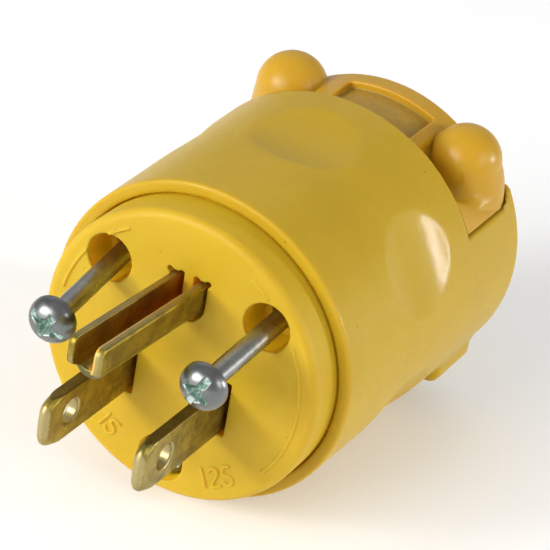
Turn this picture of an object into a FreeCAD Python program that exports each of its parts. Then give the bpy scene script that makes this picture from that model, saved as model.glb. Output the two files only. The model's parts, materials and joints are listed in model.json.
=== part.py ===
import FreeCAD, Part
import os
import math
import Sketcher
from FreeCAD import Vector, Rotation, Placement

# Round grounding plug with two flat blades and a U-shaped ground pin.
# Millimetres. Origin at the centre of the front face, +Y into the body,
# +X right and +Z up when the plug is seen from its blades.

doc = FreeCAD.newDocument("grounding_plug")

# ---------------------------------------------------------------- dimensions
SIZES = [
    # front disc
    ("face_rad", 18.42, "radius of the front disc"),
    ("face_edge", 1.05, "rounding of the front disc's edge"),
    ("flange_len", 7.2, "length of the disc's wide part"),
    ("boss_rad", 16.6, "radius of the disc's rear part"),
    ("insert_len", 12.0, "whole length of the disc"),
    ("screw_ring", 13.95, "radius of the circle of the three long screws"),
    ("screw_left_x", -10.59, "left long screw hole, across"),
    ("screw_side_z", 9.08, "side long screw holes, up"),
    ("cbore_rad", 3.0, "counterbore of the long screws"),
    ("cbore_deep", 5.0, "depth of that counterbore"),
    ("screw_clear", 2.15, "hole of the long screws through the disc"),
    ("relief_rad", 3.2, "relief behind that hole"),
    ("relief_y", 8.0, "where the relief starts"),
    ("blade_x", 6.35, "blade plane from the middle"),
    ("blade_z", -3.675, "centre line of the flat blades"),
    ("slot_wide", 2.5, "face slot of a blade, across"),
    ("slot_tall", 7.2, "face slot of a blade, tall"),
    ("slot_deep", 4.0, "depth of the wide part of the slot"),
    ("grip_wide", 1.56, "narrow part of the slot, across"),
    ("grip_tall", 6.45, "narrow part of the slot, tall"),
    ("rib_rad", 16.35, "raised rib on the face, mean radius"),
    ("rib_wide", 0.34, "raised rib, wide"),
    ("rib_high", 0.22, "raised rib, proud of the face"),
    # flat blades
    ("blade_thick", 1.5, "thickness of a flat blade"),
    ("blade_wide", 6.35, "width of a flat blade"),
    ("blade_tip", 17.45, "tip of the blades in front of the face"),
    ("blade_round", 1.9, "rounded corners of the tip"),
    ("blade_bevel", 0.48, "bevel along the tip"),
    ("blade_hole", 1.65, "radius of the hole in a blade"),
    ("blade_hole_y", 12.5, "that hole in front of the face"),
    ("tab_start", 12.15, "terminal tab starts"),
    ("tab_end", 24.0, "terminal tab ends"),
    ("tab_half", 4.25, "half of the terminal tab's height"),
    ("term_y", 18.6, "terminal screws along the axis"),
    ("term_hole", 1.75, "hole of a terminal screw in its tab"),
    # ground pin
    ("pin_rad", 2.375, "outer radius of the folded ground pin"),
    ("pin_wall", 1.02, "its sheet thickness"),
    ("pin_z", 8.2, "centre of its round"),
    ("pin_top", 10.75, "top edge of its two legs"),
    ("pin_tip", 21.4, "its longer leg in front of the face"),
    ("pin_short", 0.5, "how much shorter its left leg ends"),
    ("pin_round", 1.1, "rounded corners of its legs"),
    ("pin_tilt", 2.8, "how far the pin leans up, degrees"),
    ("pin_pivot", 6.6, "where it leans, behind the face"),
    ("pin_slot", 2.53, "half width of its slot"),
    ("pin_slot_z", 7.93, "centre of the slot's round"),
    ("pin_slot_top", 11.3, "top of its slot"),
    ("tongue_half", 0.66, "half width of the plastic tongue between its legs"),
    ("tongue_low", 8.4, "lowest point of that tongue"),
    ("slot_relief", 0.4, "round reliefs at the top corners of the legs' slots"),
    ("relief_z", 11.15, "their centres"),
    # casing
    ("rim_y", 4.9, "front rim of the casing"),
    ("rim_in", 18.75, "inner radius of the rim"),
    ("rim_out", 20.16, "outer radius at the rim"),
    ("rim_edge", 0.45, "rounding of the rim"),
    ("seat_y", 7.25, "shelf that the disc sits against"),
    ("cavity_rad", 17.0, "wiring space"),
    ("wall_y", 32.0, "rear wall of the wiring space"),
    ("step_y", 35.45, "rear edge of the casing's round front part"),
    ("step_rad", 20.68, "outer radius there"),
    ("end_y", 48.7, "rear end"),
    ("end_rad", 20.62, "outer radius of the rear part"),
    ("end_edge", 0.9, "rounding of the rear end"),
    ("part_z", 9.1, "parting plane of the cord clamp"),
    ("cord_rad", 8.0, "cord passage"),
    ("dimple_y", 23.4, "middle of the finger dimples"),
    ("dimple_deep", 1.08, "depth of a dimple"),
    ("dimple_rad", 23.6, "lengthwise radius of a dimple"),
    ("post_rad", 3.4, "posts of the long screws"),
    ("post_y", 14.0, "front of those posts"),
    ("post_bore", 1.5, "bore of those posts"),
    ("nut_pocket", 2.32, "pocket of the brass insert"),
    ("lip_in", 15.6, "inner side of the rear lip"),
    ("lip_y", 45.3, "front of the rear lip"),
    ("lip_top", 10.8, "top of the rear lip"),
    ("block_x", 17.05, "side of a clamp screw block"),
    ("block_z", -15.2, "underside of a clamp screw block"),
    ("block_y", 38.7, "front of a clamp screw block"),
    ("block_edge", 1.6, "rounding of a clamp screw block"),
    # cord clamp
    ("clamp_x", 12.6, "clamp screws from the middle"),
    ("clamp_y", 44.0, "clamp screws along the axis"),
    ("dome_rad", 4.6, "radius of a dome"),
    ("dome_z", 14.5, "centre of its ball"),
    ("jaw_low", 9.5, "underside of the jaw"),
    ("jaw_front", 35.6, "front of the jaw"),
    ("jaw_foot_end", 45.0, "rear of its side feet"),
    ("jaw_bridge", 18.6, "outer radius of the bridge"),
    ("jaw_floor", 17.5, "radius of the window's floor"),
    ("window_half", 6.05, "half width of the window"),
    ("window_end", 46.6, "rear edge of the window"),
    ("valley_rad", 7.4, "hollow around a dome"),
    ("valley_in", 8.5, "inner side of that hollow"),
    ("valley_out", 15.2, "outer side of that hollow"),
    ("valley_low", 13.4, "floor of that hollow"),
    ("tongue_x", 7.5, "half width of the jaw's tongue"),
    ("tongue_z", 4.4, "underside of the jaw's tongue"),
    ("clamp_shank", 1.5, "clamp screw shank"),
    ("clamp_head", 2.75, "clamp screw head"),
    ("clamp_head_z", -14.7, "outer end of the clamp screw head"),
    ("clamp_head_len", 2.1, "its height"),
    ("clamp_tip", 17.3, "upper end of the clamp screw"),
    ("nut_half", 2.9, "half width of the square nut"),
    ("nut_low", 10.6, "underside of the square nut"),
    ("nut_thick", 2.4, "its thickness"),
    ("play", 0.05, "running clearance"),
    # long screws
    ("shank_rad", 1.25, "long screw shank"),
    ("head_rad", 2.85, "long screw head"),
    ("head_len", 2.65, "its height"),
    ("screw_len", 25.4, "length under the head"),
    ("recess_wide", 0.85, "recess in a screw head"),
    # inner parts
    ("insert_rad", 2.3, "brass insert"),
    ("insert_tall", 6.0, "its length"),
    ("plate_side", 7.2, "wire plate side"),
    ("plate_thick", 1.0, "wire plate thickness"),
    ("bind_rad", 3.25, "terminal screw head"),
    ("bind_len", 1.9, "its height"),
    ("bind_shank", 1.65, "its shank"),
    ("bind_reach", 4.6, "length of its shank"),
    ("web_half", 0.9, "half thickness of the divider"),
]
sheet = doc.addObject("Spreadsheet::Sheet", "Dims")
for row, (alias, value, words) in enumerate(SIZES, 1):
    sheet.set("A%d" % row, words)
    sheet.set("B%d" % row, str(value))
    sheet.setAlias("B%d" % row, alias)
doc.recompute()


class Size:
    """A length together with the expression that gives it."""

    def __init__(self, value, text):
        self.v = float(value)
        self.e = text

    def __add__(self, o):
        o = size(o)
        return Size(self.v + o.v, "(%s + %s)" % (self.e, o.e))

    def __radd__(self, o):
        return size(o) + self

    def __sub__(self, o):
        o = size(o)
        return Size(self.v - o.v, "(%s - %s)" % (self.e, o.e))

    def __rsub__(self, o):
        return size(o) - self

    def __mul__(self, o):
        o = size(o)
        return Size(self.v * o.v, "(%s * %s)" % (self.e, o.e))

    __rmul__ = __mul__

    def __neg__(self):
        return Size(-self.v, "(-1 * %s)" % self.e)


def size(x):
    return x if isinstance(x, Size) else Size(x, repr(float(x)))


class Table:
    def __getattr__(self, alias):
        return Size(sheet.get(alias), "Dims." + alias)


d = Table()


def drive(obj, prop, value):
    value = size(value)
    if "Dims." in value.e:
        obj.setExpression(prop, value.e)
    elif "." not in prop:
        setattr(obj, prop, value.v)


def place(obj, at, turn=None):
    at = [size(a) for a in at]
    obj.Placement = Placement(Vector(*[a.v for a in at]), turn or Rotation())
    for axis, a in zip("xyz", at):
        if "Dims." in a.e:
            obj.setExpression("Placement.Base." + axis, a.e)


ALONG = {"x": Rotation(Vector(0, 1, 0), 90), "y": Rotation(Vector(1, 0, 0), -90), "z": Rotation(),
         "-x": Rotation(Vector(0, 1, 0), -90), "-y": Rotation(Vector(1, 0, 0), 90),
         "-z": Rotation(Vector(1, 0, 0), 180)}


def cyl(name, rad, length, at, axis="y"):
    o = doc.addObject("Part::Cylinder", name)
    drive(o, "Radius", rad)
    drive(o, "Height", length)
    place(o, at, ALONG[axis])
    return o


def box(name, low, high):
    o = doc.addObject("Part::Box", name)
    for prop, a, b in zip(("Length", "Width", "Height"), low, high):
        drive(o, prop, size(b) - a)
    place(o, low)
    return o


def cone(name, rad1, rad2, length, at, axis="y"):
    o = doc.addObject("Part::Cone", name)
    drive(o, "Radius1", rad1)
    drive(o, "Radius2", rad2)
    drive(o, "Height", length)
    place(o, at, ALONG[axis])
    return o


def ball(name, rad, at):
    o = doc.addObject("Part::Sphere", name)
    drive(o, "Radius", rad)
    place(o, at)
    return o


def fuse(name, parts):
    o = doc.addObject("Part::MultiFuse", name)
    o.Shapes = parts
    o.Refine = True
    return o


def common(name, parts):
    o = doc.addObject("Part::MultiCommon", name)
    o.Shapes = parts
    return o


def cut(name, base, tool):
    if isinstance(tool, list):
        tool = fuse(name + "_tools", tool) if len(tool) > 1 else tool[0]
    o = doc.addObject("Part::Cut", name)
    o.Base = base
    o.Tool = tool
    o.Refine = True
    return o


def fillet(name, base, rad, pick):
    doc.recompute()
    found = [i for i, e in enumerate(base.Shape.Edges, 1) if pick(e)]
    if not found:
        raise RuntimeError("no edge for " + name)
    o = doc.addObject("Part::Fillet", name)
    o.Base = base
    o.Edges = [(i, rad.v, rad.v) for i in found]
    return o


NODES = []


def node(obj, label):
    obj.Label = label
    NODES.append((label, obj))
    return obj


# ------------------------------------------------------- sketches and bodies
def body(name):
    return doc.addObject("PartDesign::Body", name)


def sketch(b, name, role, shift=0.0):
    s = b.newObject("Sketcher::SketchObject", name)
    plane = [f for f in b.Origin.OriginFeatures if f.Role == role][0]
    s.AttachmentSupport = [(plane, "")]
    s.MapMode = "FlatFace"
    shift = size(shift)
    s.AttachmentOffset = Placement(Vector(0, 0, shift.v), Rotation())
    if "Dims." in shift.e:
        s.setExpression("AttachmentOffset.Base.z", shift.e)
    return s


def outline(s, points):
    """Closed outline of straight lines, each corner driven by the sheet."""
    pts = [(size(a), size(b)) for a, b in points]
    n = len(pts)
    for i in range(n):
        a, b = pts[i], pts[(i + 1) % n]
        s.addGeometry(Part.LineSegment(Vector(a[0].v, a[1].v, 0), Vector(b[0].v, b[1].v, 0)), False)
    for i in range(n):
        s.addConstraint(Sketcher.Constraint("Coincident", i, 2, (i + 1) % n, 1))
    for i, (a, b) in enumerate(pts):
        for kind, q in (("DistanceX", a), ("DistanceY", b)):
            k = s.addConstraint(Sketcher.Constraint(kind, -1, 1, i, 1, q.v))
            if "Dims." in q.e:
                s.setExpression("Constraints[%d]" % k, q.e)


def circle(s, at, rad):
    at = [size(a) for a in at]
    rad = size(rad)
    g = s.addGeometry(Part.Circle(Vector(at[0].v, at[1].v, 0), Vector(0, 0, 1), rad.v), False)
    for kind, q in (("DistanceX", at[0]), ("DistanceY", at[1])):
        k = s.addConstraint(Sketcher.Constraint(kind, -1, 1, g, 3, q.v))
        if "Dims." in q.e:
            s.setExpression("Constraints[%d]" % k, q.e)
    k = s.addConstraint(Sketcher.Constraint("Radius", g, rad.v))
    if "Dims." in rad.e:
        s.setExpression("Constraints[%d]" % k, rad.e)


def pad(b, s, name, length):
    p = b.newObject("PartDesign::Pad", name)
    p.Profile = s
    drive(p, "Length", length)
    doc.recompute()
    return p


def pocket(b, s, name, through=True, length=1.0, flip=False):
    p = b.newObject("PartDesign::Pocket", name)
    p.Profile = s
    before = b.Shape.Volume
    if through:
        p.Type = "ThroughAll"
    else:
        drive(p, "Length", length)
    p.Reversed = flip
    doc.recompute()
    if not b.Shape.Volume < before - 1e-6:
        p.Reversed = not flip
        doc.recompute()
    if not b.Shape.Volume < before - 1e-6:
        raise RuntimeError(name + " cuts nothing")
    return p


def edges_of(feature, pick):
    return ["Edge%d" % i for i, e in enumerate(feature.Shape.Edges, 1) if pick(e)]


def dress(b, kind, name, feature, pick, amount):
    f = b.newObject("PartDesign::" + kind, name)
    names = edges_of(feature, pick)
    if not names:
        raise RuntimeError("no edge for " + name)
    f.Base = (feature, names)
    drive(f, "Radius" if kind == "Fillet" else "Size", amount)
    doc.recompute()
    return f


def edge_box(e):
    bb = e.BoundBox
    return bb.XMin, bb.XMax, bb.YMin, bb.YMax, bb.ZMin, bb.ZMax


# the three long screws, as (name, across, up)
LONG = [("left", d.screw_left_x, d.screw_side_z), ("right", -d.screw_left_x, d.screw_side_z),
        ("bottom", size(0.0), -d.screw_ring)]

# ---------------------------------------------------------------- front disc
# turned blank: wide flange with a rounded edge, then a narrower rear part
flange = cyl("insert_flange", d.face_rad, d.flange_len, (0, 0, 0))
flange = fillet("insert_flange_round", flange, d.face_edge,
                lambda e: edge_box(e)[3] < 0.01 and e.Curve.TypeId == "Part::GeomCircle")
rear = cyl("insert_rear", d.boss_rad, d.insert_len - 2.0, (0, 2.0, 0))
blank = fuse("insert_blank", [flange, rear])

# thin raised ribs on the face, each an arc of a ring
ribs = []
for k, (a0, a1) in enumerate(((121.0, 170.0), (62.0, 117.0), (51.0, 61.0), (-36.0, 30.0))):
    outer = cyl("rib_outer_%d" % k, d.rib_rad + d.rib_wide * 0.5, d.rib_high + 0.3, (0, -d.rib_high, 0))
    inner = cyl("rib_inner_%d" % k, d.rib_rad - d.rib_wide * 0.5, d.rib_high + 2.3, (0, -d.rib_high - 1.0, 0))
    # a cylinder along +Y opens from its own X, which points to +X, towards -Z
    for o in (outer, inner):
        o.Placement = Placement(o.Placement.Base, Rotation(Vector(0, 1, 0), -a1) * ALONG["y"])
    outer.Angle = a1 - a0
    ribs.append(cut("rib_%d" % k, outer, [inner]))
ribs = [r for k, r in enumerate(ribs) if k != 1]

tools = []
for name, x, z in LONG:
    tools.append(cyl("cbore_" + name, d.cbore_rad, d.cbore_deep + 1.0, (x, -1.0, z)))
    tools.append(cyl("through_" + name, d.screw_clear, d.insert_len + 2.0, (x, -1.0, z)))
    tools.append(cyl("relief_" + name, d.relief_rad, d.insert_len - d.relief_y + 1.0, (x, d.relief_y, z)))
for name, side in (("hot", 1), ("neutral", -1)):
    x = d.blade_x * side
    tools.append(box("slot_" + name, (x - d.slot_wide * 0.5, -1.0, d.blade_z - d.slot_tall * 0.5),
                     (x + d.slot_wide * 0.5, d.slot_deep, d.blade_z + d.slot_tall * 0.5)))
    tools.append(box("grip_" + name, (x - d.grip_wide * 0.5, -1.0, d.blade_z - d.grip_tall * 0.5),
                     (x + d.grip_wide * 0.5, d.insert_len + 1.0, d.blade_z + d.grip_tall * 0.5)))
# U slot of the ground pin, with the tongue left standing between its legs
u_round = cyl("u_slot_round", d.pin_slot, d.insert_len + 2.0, (0, -1.0, d.pin_slot_z))
u_box = box("u_slot_box", (-d.pin_slot, -1.0, d.pin_slot_z), (d.pin_slot, d.insert_len + 1.0, d.pin_slot_top))
u_all = fuse("u_slot_full", [u_round, u_box])
tongue = fuse("u_tongue", [box("u_tongue_bar", (-d.tongue_half, -2.0, d.tongue_low + d.tongue_half),
                               (d.tongue_half, d.insert_len + 2.0, d.pin_slot_top + 1.0)),
                           cyl("u_tongue_end", d.tongue_half, d.insert_len + 4.0,
                               (0, -2.0, d.tongue_low + d.tongue_half))])
tools.append(cut("u_slot", u_all, [tongue]))
for side in (1, -1):
    tag = "r" if side > 0 else "l"
    tools.append(cyl("u_relief_out_" + tag, d.slot_relief, d.insert_len + 2.0, (d.pin_slot * side, -1.0, d.relief_z)))
    tools.append(cyl("u_relief_in_" + tag, d.slot_relief, d.insert_len + 2.0,
                     (d.tongue_half * side + d.slot_relief * side * 0.85, -1.0, d.relief_z)))
face_insert = node(cut("face_insert", fuse("insert_ribbed", [blank] + ribs), tools), "face_insert")

# ------------------------------------------------------------------- casing
front = cone("casing_front", d.rim_out, d.step_rad, d.step_y - d.rim_y, (0, d.rim_y, 0))
front = fillet("casing_front_round", front, d.rim_edge, lambda e: edge_box(e)[3] < d.rim_y.v + 0.01)
tail = cyl("casing_tail", d.end_rad, d.end_y - d.step_y + 1.0, (0, d.step_y - 1.0, 0))
tail = fillet("casing_tail_round", tail, d.end_edge, lambda e: edge_box(e)[2] > d.end_y.v - 0.01)
below = box("casing_tail_side", (-30, d.step_y - 2.0, -30), (30, d.end_y + 5.0, d.part_z))
tail_low = common("casing_tail_low", [tail, below])
# rear lip that stands up at each side behind the jaw's feet
lip_gap = [box("casing_lip_gap", (-d.lip_in, 30, -30), (d.lip_in, 60, 30))]
for name, side in (("r", 1), ("l", -1)):
    lip_gap.append(cyl("casing_lip_bow_" + name, d.dome_rad + 0.35, 60.0, (d.clamp_x * side, d.clamp_y, -30.0), "z"))
lip = common("casing_lip", [cut("casing_lip_ring", tail, lip_gap),
                            box("casing_lip_zone", (-30, d.lip_y, d.part_z - 1.0), (30, d.end_y + 5.0, d.lip_top))])
lip = fillet("casing_lip_round", lip, Size(0.35, "0.35"),
             lambda e: edge_box(e)[4] > d.lip_top.v - 0.01 and edge_box(e)[3] - edge_box(e)[2] > 1.5
             and edge_box(e)[1] - edge_box(e)[0] < 0.05)
# blocks of the clamp screws, low on each side
blocks = []
for name, side in (("r", 1), ("l", -1)):
    a = box("block_" + name, (0 if side > 0 else -d.block_x, d.block_y, d.block_z),
            (d.block_x if side > 0 else 0, d.end_y - 0.1, 0))
    blocks.append(fillet("block_round_" + name, a, d.block_edge,
                         lambda e, s=side: (abs(edge_box(e)[0] - s * d.block_x.v) < 0.01 and abs(edge_box(e)[1] - s * d.block_x.v) < 0.01
                                            and edge_box(e)[4] < d.block_z.v + 0.02)
                         or (edge_box(e)[3] < d.block_y.v + 0.01 and edge_box(e)[5] < d.block_z.v + 0.01)))
outside = fuse("casing_outside", [front, tail_low, lip] + blocks)

tools = [cyl("mouth", d.rim_in, d.seat_y - d.rim_y + 1.0, (0, d.rim_y - 1.0, 0)),
         cyl("cavity", d.cavity_rad, d.wall_y - d.rim_y, (0, d.rim_y, 0))]
# cord passage: round through the wall, open upwards in the clamp
tools.append(cyl("cord_round", d.cord_rad, d.end_y - d.wall_y + 3.0, (0, d.wall_y - 1.0, 0)))
tools.append(box("cord_open", (-d.cord_rad, d.step_y, 0), (d.cord_rad, d.end_y + 2.0, d.part_z + 5.0)))
# finger dimples: six troughs across the surface, at every sixty degrees
for k in range(6):
    a = 90.0 - 60.0 * k
    o = doc.addObject("Part::Cylinder", "dimple_%d" % k)
    drive(o, "Radius", d.dimple_rad)
    o.Height = 24.0
    out = Vector(math.cos(math.radians(a)), 0, math.sin(math.radians(a)))
    across = Vector(-out.z, 0, out.x)
    reach = (d.rim_out.v + d.step_rad.v) * 0.5 + 0.06 - d.dimple_deep.v + d.dimple_rad.v
    o.Placement = Placement(out * reach + Vector(0, d.dimple_y.v, 0) - across * 12.0,
                            Rotation(Vector(0, 0, 1), across))
    tools.append(o)
carved = cut("casing_carved", outside, tools)

# posts of the long screws stand on the rear wall and reach the side wall
posts = []
for name, x, z in LONG:
    posts.append(cyl("post_" + name, d.post_rad, d.wall_y - d.post_y + 0.5, (x, d.post_y, z)))
posts_in = common("posts_in", [fuse("posts", posts), cyl("posts_zone", d.cavity_rad + 0.5, 40.0, (0, 0, 0))])
webs = []
for name, x, z in LONG:
    a = math.degrees(math.atan2(z.v, x.v))
    w = doc.addObject("Part::Box", "post_web_" + name)
    w.Length = 4.0
    w.Width = 18.0
    w.Height = 2.4
    w.Placement = Placement(Vector(0, d.post_y.v, 0), Rotation(Vector(0, 1, 0), -a)) * Placement(Vector(13.4, 0, -1.2), Rotation())
    webs.append(w)
casing = fuse("casing_posts", [carved, posts_in] + webs)
tools = []
for name, x, z in LONG:
    tools.append(cyl("post_bore_" + name, d.post_bore, d.wall_y - d.post_y + 0.5, (x, d.post_y - 1.0, z)))
    tools.append(cyl("nut_pocket_" + name, d.nut_pocket, d.insert_tall + 1.1, (x, d.post_y - 1.0, z)))
for name, side in (("r", 1), ("l", -1)):
    x = d.clamp_x * side
    tools.append(cyl("clamp_hole_" + name, d.clamp_shank + 0.15, 40.0, (x, d.clamp_y, -25.0), "z"))
    tools.append(cyl("clamp_cbore_" + name, d.clamp_head + 0.25, 20.0,
                     (x, d.clamp_y, d.clamp_head_z + d.clamp_head_len - 20.0), "z"))
body_shell = node(cut("body_shell", casing, tools), "body_shell")

# ------------------------------------------------------------ cord clamp jaw
domes = []
for name, side in (("r", 1), ("l", -1)):
    x = d.clamp_x * side
    domes.append(cyl("dome_col_" + name, d.dome_rad, d.dome_z - d.jaw_low, (x, d.clamp_y, d.jaw_low), "z"))
    domes.append(ball("dome_ball_" + name, d.dome_rad, (x, d.clamp_y, d.dome_z)))
bridge = common("jaw_bridge", [cyl("jaw_bridge_round", d.jaw_bridge, d.end_y - d.jaw_front, (0, d.jaw_front, 0)),
                               box("jaw_bridge_zone", (-d.clamp_x, 30, d.jaw_low), (d.clamp_x, 60, 30))])
feet = common("jaw_feet", [cyl("jaw_feet_round", d.end_rad, d.jaw_foot_end - d.jaw_front, (0, d.jaw_front, 0)),
                           fuse("jaw_feet_zone", [box("jaw_foot_zone_r", (d.clamp_x, 30, d.jaw_low), (30, 60, 13.3)),
                                                  box("jaw_foot_zone_l", (-30, 30, d.jaw_low), (-d.clamp_x, 60, 13.3))])])
# hollow between a dome, the bridge and the foot
valleys = []
for name, side in (("r", 1), ("l", -1)):
    x = d.clamp_x * side
    inner, outer = d.valley_in * side, d.valley_out * side
    if side < 0:
        inner, outer = outer, inner
    valleys.append(common("valley_" + name, [cyl("valley_round_" + name, d.valley_rad, 14.0, (x, d.clamp_y, d.valley_low), "z"),
                                             box("valley_zone_" + name, (inner, 30, d.valley_low), (outer, d.clamp_y, 30))]))
    valleys.append(box("valley_front_" + name, (inner, 30, d.valley_low), (outer, d.clamp_y - 3.0, 30)))
window = cut("window", box("window_zone", (-d.window_half, 30, 10), (d.window_half, d.window_end, 30)),
             [cyl("window_floor", d.jaw_floor, 40, (0, 20, 0))])
jaw = cut("jaw_carved", fuse("jaw_top", [bridge, feet]), valleys + [window])
tongue = box("jaw_tongue", (-d.tongue_x, d.jaw_front + 1.2, d.tongue_z), (d.tongue_x, d.end_y - 1.5, d.jaw_low + 1.0))
teeth = [box("jaw_tooth_%d" % k, (-d.tongue_x + 1.0, y, d.tongue_z - 0.8), (d.tongue_x - 1.0, y + 1.2, d.tongue_z + 0.5))
         for k, y in enumerate((38.6, 42.2, 45.0))]
jaw = fuse("jaw_body", [jaw] + domes + [tongue] + teeth)
tools = []
for name, side in (("r", 1), ("l", -1)):
    x = d.clamp_x * side
    tools.append(cyl("jaw_hole_" + name, d.clamp_shank + 0.15, d.clamp_tip + 0.35 - d.jaw_low + 1.0,
                     (x, d.clamp_y, d.jaw_low - 1.0), "z"))
    tools.append(box("jaw_nut_" + name, (x - d.nut_half - d.play, d.clamp_y - d.nut_half - d.play, d.jaw_low - 1.0),
                     (x + d.nut_half + d.play, d.clamp_y + d.nut_half + d.play, d.nut_low + d.nut_thick + d.play)))
cord_clamp_jaw = node(cut("cord_clamp_jaw", jaw, tools), "cord_clamp_jaw")

# -------------------------------------------------------------- flat blades
for name, side in (("hot", 1), ("neutral", -1)):
    b = body(name + "_blade_body")
    x = d.blade_x * side - d.blade_thick * 0.5
    half = d.blade_wide * 0.5
    s = sketch(b, name + "_profile", "YZ_Plane", x)
    outline(s, [(-d.blade_tip, d.blade_z - half), (d.tab_start, d.blade_z - half),
                (d.tab_start, d.blade_z - d.tab_half), (d.tab_end, d.blade_z - d.tab_half),
                (d.tab_end, d.blade_z + d.tab_half), (d.tab_start, d.blade_z + d.tab_half),
                (d.tab_start, d.blade_z + half), (-d.blade_tip, d.blade_z + half)])
    p = pad(b, s, name + "_strip", d.blade_thick)
    s = sketch(b, name + "_hole_sketch", "YZ_Plane", x)
    circle(s, (-d.blade_hole_y, d.blade_z), d.blade_hole)
    pocket(b, s, name + "_hole")
    s = sketch(b, name + "_term_sketch", "YZ_Plane", x)
    circle(s, (d.term_y, d.blade_z), d.term_hole)
    p = pocket(b, s, name + "_term_hole")
    tip = -d.blade_tip.v + 0.01
    p = dress(b, "Fillet", name + "_tip_round", p,
              lambda e: edge_box(e)[3] < tip and edge_box(e)[5] - edge_box(e)[4] < 0.01, d.blade_round)
    p = dress(b, "Chamfer", name + "_tip_bevel", p,
              lambda e: edge_box(e)[3] < tip and edge_box(e)[5] - edge_box(e)[4] > 1.0, d.blade_bevel)
    node(b, name + "_blade")

# --------------------------------------------------------------- ground pin
# strip folded to a U with its open side up, then a flat tab for the wire
inner_end = d.tab_start + 1.6
u_out = fuse("pin_out", [cyl("pin_out_round", d.pin_rad, d.pin_tip + inner_end, (0, -d.pin_tip, d.pin_z)),
                         box("pin_out_box", (-d.pin_rad, -d.pin_tip, d.pin_z), (d.pin_rad, inner_end, d.pin_top))])
u_in = fuse("pin_in", [cyl("pin_in_round", d.pin_rad - d.pin_wall, 60, (0, -30, d.pin_z)),
                       box("pin_in_box", (d.pin_wall - d.pin_rad, -30, d.pin_z), (d.pin_rad - d.pin_wall, 30, 20))])
# the end is cut slightly askew, so the left leg is the shorter one
skew = math.degrees(math.atan2(d.pin_short.v, 2.0 * d.pin_rad.v - d.pin_wall.v))
askew = doc.addObject("Part::Box", "pin_askew")
askew.Length, askew.Width, askew.Height = 20.0, 10.0, 20.0
askew.Placement = Placement(Vector(0.5 * (2 * d.pin_rad.v - d.pin_wall.v), -d.pin_tip.v, -2.0), Rotation(Vector(0, 0, 1), -skew)) \
    * Placement(Vector(-12.0, -10.0, 0), Rotation())
channel = cut("pin_channel", u_out, [u_in, askew])
channel = fillet("pin_channel_round", channel, d.pin_round,
                 lambda e: edge_box(e)[3] < 2.0 - d.pin_tip.v and edge_box(e)[4] > d.pin_top.v - 0.01
                 and edge_box(e)[1] - edge_box(e)[0] > 0.5)
tab = box("pin_tab", (-4.0, d.tab_start + 0.3, d.pin_z - d.pin_rad), (4.0, d.tab_end, d.pin_z - d.pin_rad + d.pin_wall))
ground = cut("pin_whole", fuse("pin_and_tab", [channel, tab]),
             [cyl("pin_term_hole", d.term_hole, 10, (0, d.term_y, d.pin_z - 6.0), "z"),
              box("pin_web_back", (-1.0, -d.pin_tip - 1.0, d.pin_z - 3.0), (1.0, 1.35 - d.pin_tip, d.pin_z + 3.0))])
LEAN = Placement(Vector(0, 0, 0), Rotation(Vector(0, 0, 1), -0.25) * Rotation(Vector(1, 0, 0), -d.pin_tilt.v),
                 Vector(0, d.pin_pivot.v, d.pin_z.v))
ground.Placement = LEAN
node(ground, "ground_blade")


# ------------------------------------------------------------------- screws
def screw(name, label, head_rad, head_len, shank_rad, shank_len, where, cross=True):
    """Screw along +Y from the underside of its head at y = 0; the head is at -Y."""
    head = cyl(name + "_head", head_rad, head_len, (0, -head_len, 0))
    head = fillet(name + "_head_round", head, size(head_len.v * 0.8),
                  lambda e: edge_box(e)[3] < -head_len.v + 0.01 and e.Curve.TypeId == "Part::GeomCircle")
    shank = cyl(name + "_shank", shank_rad, shank_len, (0, -0.2, 0))
    shank = fillet(name + "_tip", shank, Size(0.35, "0.35"), lambda e: edge_box(e)[2] > shank_len.v - 0.21
                   and e.Curve.TypeId == "Part::GeomCircle")
    w = d.recess_wide * 0.5
    cuts = [box(name + "_slot", (-6, -head_len - 1.0, -w), (6, 0.75 - head_len, w))]
    if cross:
        cuts.append(box(name + "_cross_a", (-1.7, -head_len - 1.0, -w), (1.7, 1.25 - head_len, w)))
        cuts.append(box(name + "_cross_b", (-w, -head_len - 1.0, -1.7), (w, 1.25 - head_len, 1.7)))
    o = cut(name, fuse(name + "_blank", [head, shank]), cuts)
    o.Placement = where
    return node(o, label)


def aim(head_top, through, spin):
    """Placement of a long screw whose head's outer end is at head_top and whose axis passes through."""
    a = Vector(*through) - Vector(*head_top)
    a.normalize()
    under = Vector(*head_top) + a * d.head_len.v
    return Placement(under, Rotation(Vector(0, 1, 0), a) * Rotation(Vector(0, 1, 0), spin))


screw("screw_left", "assembly_screw_left", d.head_rad, d.head_len, d.shank_rad, d.screw_len,
      aim((-8.94, -15.29, 7.36), (-10.4, 0.0, 8.16), 28.0))
screw("screw_right", "assembly_screw_right", d.head_rad, d.head_len, d.shank_rad, d.screw_len,
      aim((10.78, -15.4, 7.84), (10.76, 0.0, 8.81), -62.0))
screw("screw_bottom", "assembly_screw_bottom", d.head_rad, d.head_len, d.shank_rad, d.screw_len,
      Placement(Vector(0, d.cbore_deep.v - 2.25, -d.screw_ring.v), Rotation(Vector(0, 1, 0), 15.0)))
for name, side in (("left", -1), ("right", 1)):
    screw("clamp_screw_" + name, "clamp_screw_" + name, d.clamp_head, d.clamp_head_len, d.clamp_shank,
          d.clamp_tip - d.clamp_head_z - d.clamp_head_len,
          Placement(Vector(side * d.clamp_x.v, d.clamp_y.v, d.clamp_head_z.v + d.clamp_head_len.v),
                    Rotation(Vector(0, 1, 0), Vector(0, 0, 1))))

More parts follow.
